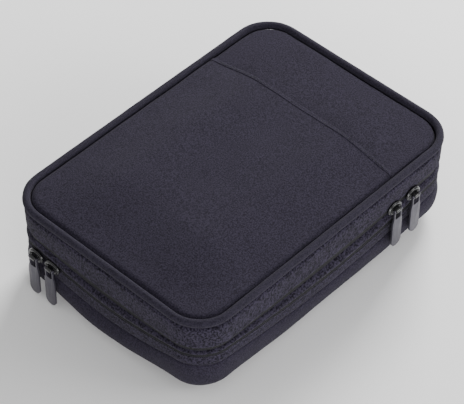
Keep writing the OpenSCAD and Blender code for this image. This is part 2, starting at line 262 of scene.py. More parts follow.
def band(name, section, route=RING, closed=True):
    """A band of cloth or cord with this section, all along a route."""
    clear_selection()
    bpy.ops.mesh.primitive_circle_add(vertices=len(section), radius=MM)
    ob = bpy.context.object
    ob.name = name
    for vertex, (inset, z) in zip(ob.data.vertices, section):
        vertex.co = start_point(route, inset, z)
    if not closed:
        ends = {0, len(section) - 1}
        choose_edges(ob, lambda edge: set(edge.vertices) == ends)
        bpy.ops.mesh.delete(type="EDGE")
        bpy.ops.mesh.select_mode(type="VERT")
    edit(ob)
    draw_along(route)
    if route is not RING and closed:
        bpy.ops.mesh.select_all(action="SELECT")
        bpy.ops.mesh.fill_holes(sides=0)
    leave()
    seal(ob)
    return ob


def fit(ob, scale):
    """Stretches a newly added primitive and fixes its size, turn and place in its mesh."""
    ob.scale = scale
    return apply_place()


def grid(name, centre, size, steps_x, steps_y):
    """A flat grid of faces, in millimetres."""
    clear_selection()
    bpy.ops.mesh.primitive_grid_add(
        x_subdivisions=steps_x, y_subdivisions=steps_y, size=MM, location=Vector(centre) * MM
    )
    ob = fit(bpy.context.object, (*size, 1))
    ob.name = name
    return ob


def add_middles(ob, *heights):
    """Closes a swept plate with a flat grid at each height over the part between the corners."""
    parts = [ob]
    for z in heights:
        parts.append(grid("middle", (0, 0, z), (2 * SIDE_X, 2 * SIDE_Y), STEPS_X, STEPS_Y))
    ob = join(ob.name, parts)
    seal(ob)
    return ob


def outline_inset(x, y):
    """Distance inwards from the outline at a point in plan."""
    dx = abs(x) - SIDE_X
    dy = abs(y) - SIDE_Y
    if dx > 0 and dy > 0:
        return CORNER - math.hypot(dx, dy)
    return min(HALF_L - abs(x), HALF_W - abs(y))


def ease(t):
    """0 to 1 with soft ends."""
    t = min(1, max(0, t))
    return t * t * (3 - 2 * t)


def arc(centre, radius, start, end, steps):
    """Section points along an arc; angles are in degrees from the inward direction."""
    return [
        (
            centre[0] + radius * math.cos(math.radians(start + (end - start) * i / steps)),
            centre[1] + radius * math.sin(math.radians(start + (end - start) * i / steps)),
        )
        for i in range(steps + 1)
    ]


# How far the soft walls' seams stand above their drawn heights, in millimetres, where the
# shell's seam, the lower zip and the lid's hem are: between corners, and at each corner
SAGS = {"x": (-3.6, -3.4, -2.8), "y": (-3.2, -3.4, -1.9)}
RISES = {
    (-1, -1): (6.0, 4.2, -1.2), (1, -1): (3.0, 2.6, 2.4),
    (-1, 1): (2.0, 2.2, 0.8), (1, 1): (1.0, 1.0, 1.0),
}
# How far a wall swells outwards between corners, at the heel, the lower zip and the middle
SWELLS = {"x": (3.0, 0.5, 1.5), "y": (-0.8, 0.5, 1.6)}
# Heights where those three swells are greatest, and how far each reaches up and down
SWELL_AT = ((11, 17), (LOWER_Z, 7), (LOWER_Z + 6.3, 4.6))
# How sharply the seams rise towards a corner, how high the flat bottom ends, and how far below
# the piping's top the walls lie true again
CORNER_PULL = 1.7
BOTTOM_TRUE = 2
TOP_TRUE = 6
# How far from a corner the base's bottom starts to lift
LIFT_REACH = 60


def bump(z, centre, reach):
    return ease(1 - abs(z - centre) / reach)


def settle(x, y, z):
    """The walls' seams rise at the corners, sag and swell between them, and end at the spine."""
    along_x = min(1, abs(x) / SIDE_X)
    along_y = min(1, abs(y) / SIDE_Y)
    on_end = HALF_L - abs(x) < HALF_W - abs(y)
    side = "x" if on_end else "y"
    if abs(x) >= SIDE_X and abs(y) >= SIDE_Y:
        bend = 1
    else:
        bend = (along_y if on_end else along_x) ** CORNER_PULL
    rise = RISES[(1 if x > 0 else -1, 1 if y > 0 else -1)]
    keep = max(0, min(1, (HALF_W - y) / CORNER)) if y > SIDE_Y else 1
    shell, low, hem = [
        (high * bend + sag * (1 - bend)) * keep for high, sag in zip(rise, SAGS[side])
    ]
    top = PIPING_TOP - TOP_TRUE
    if z < SHELL_TOP:
        shift = shell * ease((z - BOTTOM_TRUE) / (SHELL_TOP - BOTTOM_TRUE))
    elif z < LOWER_Z:
        shift = shell + (low - shell) * (z - SHELL_TOP) / (LOWER_Z - SHELL_TOP)
    elif z < UPPER_Z:
        shift = low + (hem - low) * ease((z - LOWER_Z) / (UPPER_Z - LOWER_Z))
    else:
        shift = hem * (1 - ease((z - UPPER_Z - 1) / (top - UPPER_Z)))
    out = sum(swell * bump(z, *place) for swell, place in zip(SWELLS[side], SWELL_AT))
    out *= (1 - bend) * (0 if y > SIDE_Y and not on_end else 1)
    if on_end:
        x += out * (1 if x > 0 else -1)
    else:
        y += out * (1 if y > 0 else -1)
    return x, y, z + shift


def lift_corners(x, y, z):
    """The soft base rests on its middle, and its bottom lifts a little towards each corner."""
    cloth = bpy.context.scene.pouch_cloth
    if abs(x) <= SIDE_X or abs(y) <= SIDE_Y:
        reach = max(abs(x) - SIDE_X, abs(y) - SIDE_Y, 0) / CORNER
        near = ease(1 - min(max(0, SIDE_X - abs(x)), LIFT_REACH) / LIFT_REACH)
        near *= ease(1 - min(max(0, SIDE_Y - abs(y)), LIFT_REACH) / LIFT_REACH)
        share = reach * near
    else:
        share = math.hypot(abs(x) - SIDE_X, abs(y) - SIDE_Y) / CORNER
    share *= ease(1 - z / SHELL_TOP)
    return x, y, z + cloth.corner_lift * share


# ---- Paths, stitches and rows of small parts ----


def start_path(name, place):
    """A single point at a place in metres, in edit mode."""
    clear_selection()
    bpy.ops.mesh.primitive_plane_add(size=MM)
    ob = bpy.context.object
    ob.name = name
    edit(ob)
    bpy.ops.mesh.merge(type="CENTER")
    bpy.ops.transform.translate(value=place)
    return ob


def path_through(name, points):
    """A curve through points given in millimetres."""
    ob = start_path(name, Vector(points[0]) * MM)
    for start, end in zip(points, points[1:]):
        step = (Vector(end) - Vector(start)) * MM
        bpy.ops.mesh.extrude_region_move(TRANSFORM_OT_translate={"value": step})
    leave()
    return as_curve(ob)


def path_along(name, route, inset, z):
    """A curve along a route at one inset and height, settled as the walls are."""
    ob = start_path(name, start_point(route, inset, z))
    draw_along(route)
    leave()
    reshape(ob, settle)
    return as_curve(ob)


def as_curve(ob):
    pick(ob)
    bpy.ops.object.convert(target="CURVE")
    ob = bpy.context.object
    ob.data.twist_mode = "Z_UP"
    return ob


def repeat_along(ob, curve, pitch):
    """Copies a small part, drawn along X, all along a curve, and removes the curve."""
    length = curve.data.splines[0].calc_length() / MM
    modify(
        ob, "ARRAY", count=max(1, int((length - pitch) / pitch)), use_relative_offset=False,
        use_constant_offset=True, constant_offset_displace=(pitch * MM, 0, 0),
    )
    modify(ob, "CURVE", object=curve, deform_axis="POS_X")
    bpy.data.objects.remove(curve)
    return ob


def stitches(name, curve):
    """A row of raised thread stitches along a curve."""
    trim = bpy.context.scene.pouch_trim
    clear_selection()
    bpy.ops.mesh.primitive_uv_sphere_add(
        segments=6, ring_count=4, radius=0.5 * MM, location=(trim.stitch_pitch / 2 * MM, 0, 0)
    )
    ob = fit(bpy.context.object, (trim.stitch_length, trim.thread_width, trim.thread_width))
    ob.name = name
    repeat_along(ob, curve, trim.stitch_pitch)
    smooth(ob, 80)
    return ob


# ---- Finishes ----


class Value:
    """A shader value. Arithmetic on it adds Math nodes."""

    def __init__(self, finish, socket):
        self.finish = finish
        self.socket = socket

    def math(self, operation, *others):
        return self.finish.node(
            "ShaderNodeMath", {"operation": operation}, dict(enumerate((self, *others)))
        )

    def __add__(self, other):
        return self.math("ADD", other)

    def __mul__(self, other):
        return self.math("MULTIPLY", other)

    def __sub__(self, other):
        return self.math("SUBTRACT", other)

    def __rsub__(self, other):
        return (self * -1).math("ADD", other)

    def sine(self):
        return self.math("SINE")

    def above(self, other):
        return self.math("GREATER_THAN", other)

    __radd__ = __add__
    __rmul__ = __mul__


class Finish:
    """A material on a Principled shader, in the piece's own object coordinates."""

    def __init__(self, name, **constants):
        self.material = bpy.data.materials.new(name)
        self.material.use_nodes = True
        self.tree = self.material.node_tree
        self.shader = self.tree.nodes["Principled BSDF"]
        for key, value in constants.items():
            socket = key.replace("_", " ").title().replace("Ior", "IOR")
            self.shader.inputs[socket].default_value = value
        self.place = self.node("ShaderNodeTexCoord", out="Object")

    def node(self, kind, settings=None, inputs=None, out=0):
        """Adds a node: settings are set first, then its inputs as values or links."""
        made = self.tree.nodes.new(kind)
        for key, value in (settings or {}).items():
            if key == "stops":
                ramp = made.color_ramp.elements
                for i, (position, shade) in enumerate(value):
                    stop = ramp[i] if i < 2 else ramp.new(position)
                    stop.position = position
                    stop.color = (shade, shade, shade, 1)
            else:
                setattr(made, key, value)
        for key, value in (inputs or {}).items():
            if isinstance(value, Value):
                self.tree.links.new(value.socket, made.inputs[key])
            else:
                made.inputs[key].default_value = value
        return Value(self, made.outputs[out])

    def xyz(self):
        """The three object coordinates, in millimetres."""
        split = self.node("ShaderNodeSeparateXYZ", inputs={0: self.place})
        sockets = split.socket.node.outputs
        return [Value(self, socket) * (1 / MM) for socket in sockets]

    def noise(self, size, detail=2, place=None):
        """Noise from 0 to 1 with features of a size in millimetres."""
        return self.node(
            "ShaderNodeTexNoise",
            inputs={"Vector": place or self.place, "Scale": 1 / (size * MM), "Detail": detail},
        )

    def ramp(self, value, *stops):
        return self.node("ShaderNodeValToRGB", {"stops": stops}, {0: value})

    def mix(self, factor, first, second):
        """Mixes two colours."""
        return self.node(
            "ShaderNodeMix", {"data_type": "RGBA"}, {0: factor, 6: first, 7: second}, out=2
        )

    def tint(self, factor, colour, low, high):
        """Feeds the base colour, from one share of a colour to another."""
        self.feed("Base Color", self.mix(factor, opaque(colour, low), opaque(colour, high)))

    def bump(self, height, strength, depth):
        """Feeds the shader's normal with a height; depth is in millimetres."""
        bumped = self.node(
            "ShaderNodeBump",
            inputs={"Height": height, "Strength": strength, "Distance": depth * MM},
        )
        self.feed("Normal", bumped)

    def feed(self, name, value):
        self.tree.links.new(value.socket, self.shader.inputs[name])


def paint_of(name):
    """A colour from the panel's properties."""
    return getattr(bpy.context.scene.pouch_colours, name)


def opaque(colour, share=1.0):
    """A property's colour as RGBA, scaled by a share."""
    return (*[channel * share for channel in colour], 1)


FINISHES = {}


def finish_of(maker):
    """Keeps one material of each kind."""
    if maker.__name__ not in FINISHES:
        FINISHES[maker.__name__] = maker().material
    return FINISHES[maker.__name__]


def weave(finish, thread):
    """Crossed threads of a spacing in millimetres, which read as a plain weave on any face."""
    turns = 2 * math.pi / thread
    a, b, c = [(axis * turns).sine() for axis in finish.xyz()]
    return a * b + b * c + c * a


def cloth(name, colour, thread, heather, roughness=0.9, sheen=0.04, depth=0.24, grain_size=0.95):
    """Woven cloth with uneven threads, soft cloudy shade and a dusty sheen."""
    made = Finish(
        name, roughness=roughness, sheen_weight=sheen, sheen_roughness=0.5, specular_ior_level=0.06
    )
    threads = weave(made, thread)
    grain = made.noise(grain_size, 2)
    blotch = made.noise(28, 2)
    tone = made.ramp(grain + threads * 0.05 + blotch * 0.06 - 0.03, (0.36, 0), (0.64, 1))
    made.tint(tone, colour, 1 - heather, 1 + heather)
    made.feed("Roughness", grain * 0.14 + (roughness - 0.06))
    made.bump(threads * 0.35 + grain * 2.0, 0.6, depth)
    return made


def shell_cloth():
    return cloth("shell_cloth", paint_of("cloth"), 0.62, 0.42)


def side_cloth():
    """The same cloth with coarser grain, used round the walls. Its speckle is partly the cloth's
    own grain and partly painted shade and light for light grazing the walls.
    """
    # Heather 0.75 instead of 0.42: the extra contrast is painted shade and light from grazing
    # light.
    return cloth("side_cloth", paint_of("cloth"), 0.9, 0.75, grain_size=1.3)


def pocket_cloth():
    return cloth("pocket_cloth", paint_of("pocket"), 0.62, 0.42)


def piping_cloth():
    return cloth("piping_cloth", paint_of("piping"), 0.5, 0.35, roughness=0.8)


def lining_cloth():
    return cloth("lining_cloth", paint_of("lining"), 0.4, 0.25, 0.6, 0.04, 0.06)


def brushed_cloth():
    return cloth("brushed_cloth", paint_of("divider"), 0.9, 0.45, 0.95, 0.15, 0.2)


def thread_finish():
    made = Finish("sewing_thread", roughness=0.6, specular_ior_level=0.3)
    strands = made.noise(0.25, 1)
    colour = paint_of("thread")
    made.tint(strands, colour, 0.7, 1.3)
    made.bump(strands, 0.4, 0.05)
    return made


def tape_cloth():
    """Zip tape: a fine herringbone of ribs, in a near-black colour that is painted shade for the
    gap under the lid's hem.
    """
    colour = paint_of("tape")
    made = Finish("zip_tape_cloth", roughness=0.75, sheen_weight=0.04, specular_ior_level=0.3)
    x, y, z = made.xyz()
    ribs = ((x + y) * (2 * math.pi / 0.9) + (z * (2 * math.pi / 1.6)).sine() * 1.5).sine()
    speckle = made.noise(0.8, 2)
    tone = made.ramp(ribs * 0.12 + speckle, (0.42, 0), (0.68, 1))
    # Tinted from half to 2.5 times the near-black tape colour, which stays dark as painted shade.
    made.tint(tone, colour, 0.5, 2.5)
    made.bump(ribs + speckle * 2.0, 0.7, 0.2)
    return made


def elastic_cloth():
    """Elastic webbing: ribs across the band with a glossy rubber thread between them."""
    colour = paint_of("elastic")
    made = Finish("elastic_cloth", roughness=0.7, sheen_weight=0.05, specular_ior_level=0.3)
    x, y, z = made.xyz()
    ribs = (x * (2 * math.pi / 1.3)).sine()
    cords = (y * (2 * math.pi / 0.9)).sine()
    tone = made.ramp(ribs * 0.3 + cords * 0.15 + made.noise(0.6, 2), (0.2, 0), (0.9, 1))
    made.tint(tone, colour, 0.6, 1.6)
    made.bump(ribs + cords * 0.5, 0.7, 0.18)
    return made


def net_cloth():
    """Knitted mesh: round holes in offset rows, cut by alpha."""
    colour = paint_of("net")
    made = Finish("net_cloth", roughness=0.65, sheen_weight=0.05, specular_ior_level=0.3)
    x, y, z = made.xyz()
    pitch = 2 * math.pi / 2.2
    holes = (x * pitch).sine() * (y * pitch).sine()
    made.feed("Alpha", 1 - holes.math("ABSOLUTE").above(0.42))
    made.tint(made.noise(0.5, 2), colour, 0.7, 1.4)
    made.bump(holes.math("ABSOLUTE") * -1, 0.6, 0.2)
    return made


def coil_nylon():
    colour = paint_of("coil")
    made = Finish("coil_nylon", roughness=0.38)
    streak = made.noise(1.1, 2)
    made.tint(streak, colour, 0.7, 1.5)
    made.feed("Roughness", streak * 0.25 + 0.25)
    made.bump(streak, 0.15, 0.05)
    return made


def slider_enamel():
    """Gloss black enamel over cast metal, rubbed thin in specks."""
    colour = paint_of("slider")
    made = Finish("slider_enamel", metallic=0.15, coat_weight=0.5, coat_roughness=0.1)
    scuffs = made.ramp(made.noise(0.9, 5), (0.52, 0), (0.7, 1))
    made.tint(scuffs, colour, 0.6, 2.4)
    made.feed("Roughness", scuffs * 0.25 + 0.22)
    made.bump(made.noise(1.6, 3), 0.15, 0.06)
    return made


def pull_lacquer():
    """Gunmetal lacquer with fine scratches along the pull."""
    colour = paint_of("pull")
    made = Finish("pull_lacquer", coat_weight=0.2, coat_roughness=0.3)
    x, y, z = made.xyz()
    stretched = made.node("ShaderNodeCombineXYZ", inputs={0: x * 1.0, 1: y * 1.0, 2: z * 0.06})
    scratch = made.noise(0.35 / MM, 3, stretched)
    patina = made.noise(5, 2)
    tone = made.ramp(scratch * 0.7 + patina * 0.4, (0.35, 0), (0.8, 1))
    made.tint(tone, colour, 0.75, 1.35)
    made.feed("Metallic", tone * 0.2 + 0.4)
    made.feed("Roughness", tone * -0.15 + 0.52)
    made.bump(scratch, 0.2, 0.04)
    return made


# ---- Properties ----


class PouchCloth(bpy.types.PropertyGroup):
    """Shapes of the soft parts, in millimetres."""

    crown: FloatProperty(
        name="Crown", description="How far the padded top rises in its middle",
        default=1.6,
    )
    bulge: FloatProperty(
        name="Bulge", description="How far a padded wall swells between its seams",
        default=0.9,
    )
    corner_lift: FloatProperty(
        name="Corner lift", description="How far the base's bottom lifts at a corner",
        default=5.0,
    )
    pad: FloatProperty(name="Padding", description="Thickness of a padded wall", default=2.7)
    hem: FloatProperty(
        name="Hem", description="Depth of the slip pocket's folded edge",
        default=2.6,
    )
    sheet: FloatProperty(
        name="Cloth", description="Thickness of the slip pocket's cloth",
        default=0.9,
    )


class PouchTrim(bpy.types.PropertyGroup):
    """Sizes of the piping, zips and stitches, in millimetres."""

    piping: FloatProperty(name="Piping", description="Radius of the piping", default=2.75)
    stitch_pitch: FloatProperty(
        name="Stitch pitch", description="Distance from one stitch to the next",
        default=3.0,
    )
    stitch_length: FloatProperty(
        name="Stitch length", description="Length of thread seen in one stitch",
        default=2.2,
    )
    thread_width: FloatProperty(
        name="Thread", description="Width of the sewing thread",
        default=0.42,
    )
    coil_pitch: FloatProperty(
        name="Coil pitch", description="Distance from one zip coil to the next",
        default=1.7,
    )


COLOUR = {"subtype": "COLOR", "size": 3, "min": 0.0, "max": 1.0}


class PouchColours(bpy.types.PropertyGroup):
    """Colours of the pouch's cloths and metals."""

    cloth: FloatVectorProperty(
        name="Shell", description="Outer cloth",
        default=(0.0228, 0.0194, 0.0318), **COLOUR,
    )
    pocket: FloatVectorProperty(
        name="Pocket", description="Slip pocket's cloth",
        default=(0.0236, 0.0202, 0.0328), **COLOUR,
    )
    piping: FloatVectorProperty(
        name="Piping", description="Piping's cloth",
        default=(0.0230, 0.0200, 0.0318), **COLOUR,
    )
    lining: FloatVectorProperty(
        name="Lining", description="Inner cloth",
        default=(0.0160, 0.0152, 0.0220), **COLOUR,
    )
    divider: FloatVectorProperty(
        name="Dividers", description="Brushed cloth of the dividers",
        default=(0.0260, 0.0250, 0.0340), **COLOUR,
    )
    thread: FloatVectorProperty(
        name="Thread", description="Sewing thread",
        default=(0.0260, 0.0250, 0.0340), **COLOUR,
    )
    # Near-black: painted shade for the gap under the lid's hem, darker than the tape's own colour.
    tape: FloatVectorProperty(
        name="Tape", description="Zip tape",
        default=(0.0045, 0.0042, 0.0062), **COLOUR,
    )
    elastic: FloatVectorProperty(
        name="Elastic", description="Elastic webbing",
        default=(0.018, 0.018, 0.022), **COLOUR,
    )
    net: FloatVectorProperty(
        name="Net", description="Mesh pocket",
        default=(0.030, 0.030, 0.037), **COLOUR,
    )
    coil: FloatVectorProperty(
        name="Coils", description="Zip coils",
        default=(0.014, 0.014, 0.017), **COLOUR,
    )
    slider: FloatVectorProperty(
        name="Sliders", description="Sliders' enamel",
        default=(0.0075, 0.0075, 0.0090), **COLOUR,
    )
    pull: FloatVectorProperty(
        name="Pulls", description="Pulls' lacquer",
        default=(0.0560, 0.0520, 0.0680), **COLOUR,
    )
    floor: FloatVectorProperty(
        name="Floor", description="Studio floor",
        default=(0.94, 0.94, 0.94), **COLOUR,
    )


# ---- Lid ----


def panel_height(x, y):
    """Height of the padded top's surface."""
    cloth_sizes = bpy.context.scene.pouch_cloth
    swell = max(0, 1 - (x / HALF_L) ** 2) * max(0, 1 - (y / HALF_W) ** 2)
    return PANEL_HIGH + cloth_sizes.crown * swell


class BuildTopPanel(bpy.types.Operator):
    """Padded top panel, crowned in its middle and tucked down beside the piping"""

    bl_idname = "pouch.build_top_panel"
    bl_label = "Top panel"

    def execute(self, context):
        edge = 2 * context.scene.pouch_trim.piping + 0.1
        section = [(CORNER, PANEL_LOW), (12, PANEL_LOW), (edge + 1.2, PANEL_LOW)]
        section += [
            (edge + 0.2, PANEL_LOW + 0.3), (edge, PANEL_LOW + 0.8), (edge + 0.4, PANEL_HIGH - 2.4),
        ]
        section += [(edge + 0.75, PANEL_HIGH - 1.2), (edge + 1.4, PANEL_HIGH - 0.45)]
        section += [(edge + 2.6, PANEL_HIGH - 0.1), (edge + 4.4, PANEL_HIGH)]
        section += [(14, PANEL_HIGH), (20, PANEL_HIGH), (CORNER, PANEL_HIGH)]
        ob = band("top_panel_pad", section, closed=False)
        ob = add_middles(ob, PANEL_LOW, PANEL_HIGH)

        def crown(x, y, z):
            lifted = z > PANEL_HIGH - 2
            return x, y, z + (panel_height(x, y) - PANEL_HIGH) * lifted

        reshape(ob, crown)
        subdivide(ob)
        crumple(ob, 34, 0.9)
        smooth(ob, 70)
        wear(ob, shell_cloth, "lid", ["top_panel", "top_pad"])
        return {"FINISHED"}


POCKET_LOW, POCKET_HIGH = box("phone_pocket")
# Half the width of the pocket's room and where that room ends, the cloth's clearance over the
# panel, and how far its sewn edge is tucked down
PHONE_HALF = 38.0
PHONE_BACK = -66.0
POCKET_CLEAR = 0.7
POCKET_TUCK = 1.6


def pocket_height(x, y):
    """Height of the slip pocket's cloth: it rises from its sewn edge to the room for a phone."""
    room = POCKET_HIGH.z - PANEL_HIGH - 1.6
    across = min(1, max(0, (POCKET_HIGH.y - abs(y)) / (POCKET_HIGH.y - PHONE_HALF)))
    along = min(1, max(0, (x - POCKET_LOW.x) / (PHONE_BACK - POCKET_LOW.x)))
    lift = (0.45 * across + 0.55 * ease(across)) * (0.45 * along + 0.55 * ease(along))
    hollow = 0.7 * ease(1 - abs(y) / PHONE_HALF) * along
    tuck = POCKET_TUCK * ease(1 - (outline_inset(x, y) - 5.8) / 3.5)
    return PANEL_HIGH + POCKET_CLEAR + room * lift - hollow - tuck


class BuildSlipPocket(bpy.types.Operator):
    """Slip pocket: one sheet sewn in on three sides, with a folded hem at its mouth"""

    bl_idname = "pouch.build_slip_pocket"
    bl_label = "Slip pocket"

    def sheet(self, name, back_x, front_x, lift):
        edge = HALF_L + POCKET_LOW.x
        insets = (edge, edge + 0.8, edge + 2, edge + 4, 14, 18, 22, CORNER)
        section = [(inset, 0) for inset in insets]
        ob = band(name, section, closed=False)
        ob = add_middles(ob, 0)
        subdivide(ob, "SIMPLE")
        for x, outer in ((front_x, True), (back_x, False)):
            edit(ob)
            bpy.ops.mesh.bisect(
                plane_co=(x * MM, 0, 0), plane_no=(1, 0, 0),
                clear_outer=outer, clear_inner=not outer,
            )
            leave()
        reshape(ob, lambda x, y, z: (x, y, pocket_height(x, y) + lift))
        return ob

    def execute(self, context):
        cloth_sizes = context.scene.pouch_cloth
        ob = self.sheet("slip_pocket_cloth", -HALF_L, MOUTH_X, 0)
        crumple(ob, 40, 1.3, "Z")
        thicken(ob, cloth_sizes.sheet)
        smooth(ob, 60)
        wear(ob, pocket_cloth, "lid", ["phone_pocket"])
        hem = self.sheet("slip_pocket_hem", MOUTH_X - cloth_sizes.hem, MOUTH_X + 0.4, 0.1)
        crumple(hem, 40, 1.3, "Z")
        thicken(hem, 1.35)
        round_edges(hem, 0.5, 3)
        smooth(hem, 60)
        wear(hem, pocket_cloth, "lid")
        reach = POCKET_HIGH.y - 4
        count = 60
        line_x = MOUTH_X - 1.3
        points = [(line_x, -reach + 2 * reach * i / count) for i in range(count + 1)]
        curve = path_through("hem_line", [(x, y, pocket_height(x, y) + 0.78) for x, y in points])
        row = stitches("slip_pocket_stitches", curve)
        wear(row, thread_finish, "lid")
        return {"FINISHED"}


class BuildPiping(bpy.types.Operator):
    """Cloth-covered piping round the top edge"""

    bl_idname = "pouch.build_piping"
    bl_label = "Piping"

    def execute(self, context):
        radius = context.scene.pouch_trim.piping
        section = arc((radius, PIPING_TOP - radius), radius, 0, 337.5, 15)
        ob = band("piping_cord", section)
        crumple(ob, 9, 0.25)
        smooth(ob, 80)
        wear(ob, piping_cloth, "lid", ["top_piping"])
        return {"FINISHED"}


SPINE_CLEAR = UPPER_Z + 5.3


def clear_spine(x, y, z):
    """Along the spine a lid piece starts above the cloth that bends over the fold line."""
    if y > SIDE_Y and abs(x) <= SIDE_X + 0.1 and z < SPINE_CLEAR:
        z = SPINE_CLEAR + (z - UPPER_Z) * 0.02
    return x, y, z


class BuildLidWall(bpy.types.Operator):
    """Padded wall of the lid, whose folded lower edge hangs over the upper zip"""

    bl_idname = "pouch.build_lid_wall"
    bl_label = "Lid wall"

    def execute(self, context):
        swell = context.scene.pouch_cloth.bulge
        top = LID_WALL_TOP + 1.4
        low = UPPER_Z + 0.25
        middle = (top + low) / 2
        section = [(WALL_IN + 1.2, low + 0.05), (WALL_IN + 0.3, low), (WALL_IN - 0.3, low + 0.5)]
        section += [
            (WALL_IN - 0.5, low + 1.6), (WALL_IN - 0.5, low + 4.0),
            (WALL_IN - 0.6 * swell, low + 5.8),
        ]
        section += [(WALL_IN - 0.8 * swell, middle + 0.8), (WALL_IN - 0.95 * swell, middle + 3.4)]
        section += [(WALL_IN - 0.75 * swell, top - 3.1), (WALL_IN - 0.1, top - 1.9)]
        section += [(WALL_IN + 1.4, top - 1.3), (WALL_IN + 1.9, top - 0.1)]
        section += [
            (WALL_BACK - 0.2, top - 0.3), (WALL_BACK - 0.1, top - 2), (WALL_BACK - 0.1, middle),
        ]
        section += [(WALL_BACK - 0.1, low + 5), (2.5, low + 3.6), (2.35, low + 1), (2.3, low + 0.2)]
        ob = band("lid_wall_pad", section)
        reshape(ob, clear_spine)
        reshape(ob, settle)
        subdivide(ob)
        crumple(ob, 26, 0.8)
        smooth(ob, 70)
        # The wall cloth's strong speckle is partly painted shade and light from grazing light.
        wear(ob, side_cloth, "lid", ["lid_gusset"])
        curve = path_along("lid_hem_line", ZIPPED, WALL_IN - 0.1, low + 4.3)
        row = stitches("lid_hem_stitches", curve)
        wear(row, thread_finish, "lid")
        return {"FINISHED"}


def spine_section(low, high, creases):
    """The spine's cloth from one height to another, pressed in at its fold lines."""
    count = int((high - low) / 0.9)
    heights = [low + (high - low) * i / count for i in range(count + 1)]
    face = []
    for z in heights:
        press = sum(0.7 * ease(1 - abs(z - crease) / 1.4) for crease in creases)
        face.append((WALL_IN - 0.35 + press, z))
    back = [(WALL_BACK - 0.1, z) for z in reversed(heights)]
    return face + back


class BuildSpine(bpy.types.Operator):
    """The spine's cloth, pressed in at the two fold lines"""

    bl_idname = "pouch.build_spine"
    bl_label = "Spine"

    def execute(self, context):
        meet = (UPPER_Z + LOWER_Z) / 2
        fold = 5.2
        for name, low, high, crease, bodies, nodes in (
            (
                "upper_spine_cloth", meet, SPINE_CLEAR + 0.3, UPPER_Z, ("middle", "lid"),
                ["lid_spine", "middle_spine"],
            ),
            (
                "lower_spine_cloth", SHELL_TOP + 0.6, meet, LOWER_Z, ("base", "middle"),
                ["base_spine"],
            ),
        ):
            ob = band(name, spine_section(low, high, [crease]), SPINE)
            smooth(ob, 60)
            wear(ob, shell_cloth, replaces=nodes)
            (crease - fold) * MM
            (crease + fold) * MM
            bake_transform(ob)
        return {"FINISHED"}


# ---- Zips ----


def tape_section(zip_z, side, face, reach, swell):
    """One half of a zip's tape, with a rolled edge along the zip's line."""
    shape = [(face, 0.14), (face - 0.42, 0.3), (face - 0.5, 0.75), (face - 0.25, 1.2), (face, 1.5)]
    for t in (0.2, 0.4, 0.6, 0.8):
        shape.append((face - swell * math.sin(math.pi * t), 1.5 + (reach - 1.5) * t))
    shape += [
        (face + 0.1, reach), (face + 0.75, reach), (face + 0.7, reach / 2), (face + 0.6, 0.14),
    ]
    return [(inset, zip_z + side * z) for inset, z in shape]


class BuildZips(bpy.types.Operator):
    """Zip tapes, and rows of nylon coils behind them"""

    bl_idname = "pouch.build_zips"
    bl_label = "Zips"

    def execute(self, context):
        # name, zip's height, side of its line, body, face inset, reach, swell
        halves = [
            ("lid_zip", UPPER_Z, 1, "lid", 2.95, 3.2, 0),
            ("upper_zip", UPPER_Z, -1, "middle", 2.95, 4.4, 0),
            ("lower_zip", LOWER_Z, 1, "middle", 2.1, 3.4, 0.1),
            ("base_zip", LOWER_Z, -1, "base", 2.1, LOWER_Z - SHELL_TOP - 0.7, 0.6),
        ]
        for name, zip_z, side, body, face, reach, swell in halves:
            tape = band(name + "_tape_cloth", tape_section(zip_z, side, face, reach, swell), ZIPPED)
            reshape(tape, settle)
            crumple(tape, 12, 0.2)
            smooth(tape, 60)
            # The lid, upper and lower zips' tapes take the near-black tape finish, which is painted
            # shade; the base zip's tape takes the walls' cloth, whose extra contrast is painted
            # shade and light from grazing light.
            weave_of = side_cloth if name == "base_zip" else tape_cloth
            wear(tape, weave_of, body, [name + "_tape"])
            coil_in = HALF_L - box(name + "_coil")[1].x + 1
            curve = path_along(name + "_line", ZIPPED, coil_in, zip_z + side * 1.5)
            clear_selection()
            bpy.ops.mesh.primitive_torus_add(
                major_segments=10, minor_segments=5, major_radius=1.0 * MM, minor_radius=0.3 * MM,
                rotation=(0, math.radians(78), 0), location=(0.8 * MM, 0, 0),
            )
            coil = apply_place()
            coil.name = name + "_coils"
            repeat_along(coil, curve, context.scene.pouch_trim.coil_pitch)
            smooth(coil, 80)
            wear(coil, coil_nylon, body, [name + "_coil"])
        for node in ("upper_zip_stops", "base_zip_stops"):
            stop = frame["nodes"][node]
            stop.data.materials.clear()
            stop.data.materials.append(finish_of(coil_nylon))
        return {"FINISHED"}


# ---- Middle ----


